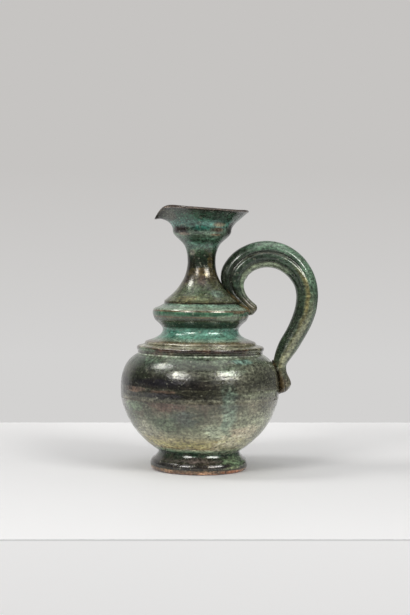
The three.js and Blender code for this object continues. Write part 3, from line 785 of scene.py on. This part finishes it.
def handle_streaks(tree, skin):
    """The streaks of the handle. The arch is dark outside near the neck, with a smooth dark lobe between
    two thin flutes and a pale one inside them, lightened more under the arch as painted light. Down the
    run it turns to dark green inside, a gold ridge and pale sage outside, and both ends break to brown.
    The flutes are darkened by pooled glaze and by painted shade."""
    marks = []
    for mark in ("flute", "band", "walk"):
        marks.append(tree.nodes.new("ShaderNodeAttribute"))
        marks[-1].attribute_name = mark
    flute, band, walk = (mark.outputs["Fac"] for mark in marks)
    unrest = sway(tree, clay_noise(tree, 10, detail=5), 0.16)
    loose_band = sums(tree, "ADD", band, unrest)
    loose_walk = sums(tree, "ADD", walk, unrest)
    streaks = (
        (band, [(0.38, 0.0), (0.44, 0.85), (0.7, 0.85), (0.78, 0.0)],
         loose_walk, [(0.0, 0.6), (0.2, 1.0), (0.38, 0.9), (0.5, 0.2), (0.56, 0.0)], colour(34, 44, 34)),
        (loose_band, [(0.34, 0.9), (0.44, 0.0)],
         loose_walk, [(0.02, 0.0), (0.07, 1.0), (0.24, 1.0), (0.34, 0.0)], colour(26, 32, 22)),
        (loose_band, [(0.58, 0.0), (0.68, 0.95), (0.9, 0.9), (1.0, 0.6)],
         loose_walk, [(0.42, 0.0), (0.5, 1.0), (0.92, 1.0), (0.96, 0.0)], colour(40, 52, 38)),
        (loose_band, [(0.12, 0.0), (0.22, 0.85), (0.48, 0.85), (0.58, 0.0)],
         loose_walk, [(0.58, 0.0), (0.7, 1.0), (0.88, 1.0), (0.93, 0.0)], colour(128, 130, 104)),
        (loose_band, [(0.36, 0.0), (0.46, 0.85), (0.56, 0.85), (0.66, 0.0)],
         loose_walk, [(0.44, 0.0), (0.52, 1.0), (0.66, 1.0), (0.74, 0.25), (1.0, 0.4)],
         colour(104, 97, 62)),
        # Pale green glaze on the inner lobe, lightened further as painted light where the arch faces down.
        (band, [(0.77, 0.0), (0.83, 0.85)],
         loose_walk, [(0.12, 0.4), (0.24, 1.0), (0.42, 0.8), (0.5, 0.0)], colour(138, 148, 122)),
        (loose_band, [(0.46, 0.0), (0.56, 0.9)],
         loose_walk, [(0.89, 0.0), (0.94, 1.0)], colour(84, 68, 42)),
        (loose_band, [(0.1, 0.5), (0.5, 0.9)],
         loose_walk, [(0.0, 1.0), (0.05, 0.7), (0.1, 0.0)], colour(94, 86, 70)),
    )
    for across, across_stops, length, length_stops, shade in streaks:
        reach_across, reach_along = ramp(tree, across, *across_stops), ramp(tree, length, *length_stops)
        skin = blend(tree, sums(tree, "MULTIPLY", reach_across, reach_along), skin, shade)
    edge = sums(tree, "MULTIPLY", ramp(tree, band, (0.41, 0.0), (0.435, 0.9), (0.47, 0.0)),
                ramp(tree, walk, (0.2, 0.2), (0.3, 1.0), (0.4, 0.9), (0.47, 0.0)))
    skin = blend(tree, edge, skin, colour(138, 136, 106))
    # The flutes darkened: dark glaze pooled in them, and painted shade in the recesses.
    deep = ramp(tree, flute, (0.35, 0.0), (0.7, 0.85))
    return blend(tree, deep, skin, colour(20, 22, 14))


handle_glaze = glaze(
    "handle_glaze",
    [
        (82, colour(106, 92, 78)),
        (98, colour(108, 98, 84)),
        (112, colour(100, 104, 84)),
        (150, colour(66, 80, 62)),
        (180, colour(68, 84, 66)),
        (205, colour(74, 97, 78)),
        (235, colour(87, 109, 91)),
        (252, colour(86, 111, 93)),
    ],
    drift=5.0,
    blotch=colour(74, 96, 74),
    blotch_share=0.4,
    mottle=0.5,
    lustre=0.2,
    paint=handle_streaks,
    dimpled=0.35,
    coat=0.4,
)
fit(handle, handle_glaze)

# Luting pads: soft clay squeezed out round both ends of the handle, where it is pressed on. The glaze
# is thin over them and shows as golden brown seams.
pad_glaze = glaze(
    "luting_clay",
    [
        # From 80 to 130 mm, on the pad at the heel, the golden brown is darkened by a painted shadow
        # beside the heel.
        (80, colour(40, 32, 16)),
        (130, colour(36, 28, 14)),
        (180, colour(88, 74, 46)),
        (220, colour(52, 43, 25)),
    ],
    drift=4.0,
    blotch=colour(84, 68, 40),
    blotch_share=0.5,
    lustre=0.3,
)
for pad in ("upper_luting_pad", "lower_luting_pad"):
    for holder in bpy.data.objects[pad].material_slots:
        holder.material = pad_glaze

# Stage: a white table with its front edge in view, a sheet of grey paper far behind it, and four soft
# lamps in a dim room.
TABLE_SIZE = (6, 0.795, 0.5)
TABLE_MIDDLE = (0, 0.0295, -0.25)
BACK_EDGE_SKEW = 0.116
FRONT_EDGE_SKEW = 0.064
bpy.ops.object.select_all(action="DESELECT")
bpy.ops.mesh.primitive_cube_add(size=1, location=TABLE_MIDDLE)
table = bpy.context.object
table.name = "table"
table.scale = TABLE_SIZE
bpy.ops.object.transform_apply(location=True, rotation=False, scale=True)
for corner in table.data.vertices:
    skew = BACK_EDGE_SKEW if corner.co.y > 0 else FRONT_EDGE_SKEW
    corner.co.y += skew * corner.co.x
table_paint = bpy.data.materials.new("white_table")
table_paint.use_nodes = True
table_tree = table_paint.node_tree
table_axes = axes_of(table_tree)
# Painted light: the top is painted lighter towards the back, against the falloff of the lamps in front,
# and the front face is painted much whiter than the top.
white = ramp(
    table_tree,
    spread(table_tree, table_axes["Y"], -0.37, 0.43),
    (0.0, colour(210, 211, 213)),
    (0.5, colour(209, 210, 212)),
    (1.0, colour(239, 240, 242)),
)
painted_front_face = spread(table_tree, table_axes["Z"], -0.5 * MM, -1.5 * MM)
white = blend(table_tree, painted_front_face, white, colour(252, 253, 255))
table_tree.links.new(white, table_tree.nodes["Principled BSDF"].inputs["Base Color"])
table_tree.nodes["Principled BSDF"].inputs["Roughness"].default_value = 0.6
table.data.materials.append(table_paint)

PAPER_SIZE = (4.5, 3.2, 1)
PAPER_MIDDLE = (-1.25, 1.9, 0.6)
bpy.ops.object.select_all(action="DESELECT")
bpy.ops.mesh.primitive_plane_add(size=1, location=PAPER_MIDDLE, rotation=(radians(90), 0, 0))
backdrop = bpy.context.object
backdrop.name = "backdrop"
backdrop.scale = PAPER_SIZE
bpy.ops.object.transform_apply(location=True, rotation=True, scale=True)
paper = bpy.data.materials.new("grey_paper")
paper.use_nodes = True
paper_tree = paper.node_tree
paper_height = axes_of(paper_tree)["Z"]
# The paper glows with painted light for the camera and in reflections, darker towards the top;
# other light sees its plain grey.
paper_painted_glow = ramp(paper_tree, paper_height, (0.0, colour(211, 210, 209)), (0.5, colour(198, 196, 194)))
paper_tree.nodes["Principled BSDF"].inputs["Base Color"].default_value = colour(150, 149, 148)
paper_glow = add_node(paper_tree, "ShaderNodeEmission", Color=paper_painted_glow, Strength=1.0)
path = add_node(paper_tree, "ShaderNodeLightPath")
in_view = sums(paper_tree, "MAXIMUM", path.outputs["Is Camera Ray"], path.outputs["Is Glossy Ray"])
in_view = sums(paper_tree, "MAXIMUM", in_view, path.outputs["Is Transmission Ray"])
mixed = paper_tree.nodes.new("ShaderNodeMixShader")
sources = (in_view, paper_tree.nodes["Principled BSDF"].outputs[0], paper_glow.outputs[0])
for socket, source in zip(mixed.inputs, sources):
    paper_tree.links.new(source, socket)
paper_tree.links.new(mixed.outputs[0], paper_tree.nodes["Material Output"].inputs["Surface"])
backdrop.data.materials.append(paper)

ROOM_LIGHT = 0.17
room = bpy.data.worlds.new("dim_room")
room.use_nodes = True
bpy.context.scene.world = room
room.node_tree.nodes["Background"].inputs["Color"].default_value = colour(236, 236, 236)
room.node_tree.nodes["Background"].inputs["Strength"].default_value = ROOM_LIGHT
LAMP_TINT = (1.0, 0.98, 0.95)
LAMP_AIM = Vector((0, 0, 0.14))


def softbox(name, azimuth, elevation, distance, width, height, power):
    """A lamp behind white cloth, aimed at the jug. Azimuth is from the front, to the right."""
    bpy.ops.object.light_add(type="AREA")
    lamp = bpy.context.object
    lamp.name = name
    lamp.data.shape = "RECTANGLE"
    lamp.data.size = width
    lamp.data.size_y = height
    lamp.data.energy = power
    lamp.data.color = LAMP_TINT
    turn, lift = radians(azimuth), radians(elevation)
    out = Vector((sin(turn) * cos(lift), -cos(turn) * cos(lift), sin(lift)))
    lamp.location = LAMP_AIM + out * distance
    lamp.rotation_euler = out.to_track_quat("Z", "Y").to_euler()


softbox("left_softbox", -34, 31.5, distance=2.3, width=0.78, height=0.6, power=27)
softbox("left_window", -82, 49, distance=2.3, width=0.7, height=0.7, power=18)
softbox("right_softbox", 44, 31.5, distance=2.3, width=1.0, height=0.62, power=32)
softbox("top_softbox", 0, 84, distance=2.2, width=2.4, height=2.4, power=24)

# Camera: level with the neck, looking down a little, and turned by a hair so that the jug leans right.
CAMERA_PLACE = (0.004, -1.340, 0.210)
CAMERA_PITCH = radians(88.64)
CAMERA_LEAN = -0.0138
LENS = 71.0
SENSOR_WIDTH = 36
bpy.ops.object.camera_add(location=CAMERA_PLACE, rotation=(CAMERA_PITCH, CAMERA_LEAN, 0))
camera = bpy.context.object
camera.data.lens = LENS
camera.data.sensor_width = SENSOR_WIDTH
bpy.context.scene.camera = camera
bpy.context.scene.view_settings.view_transform = "Standard"
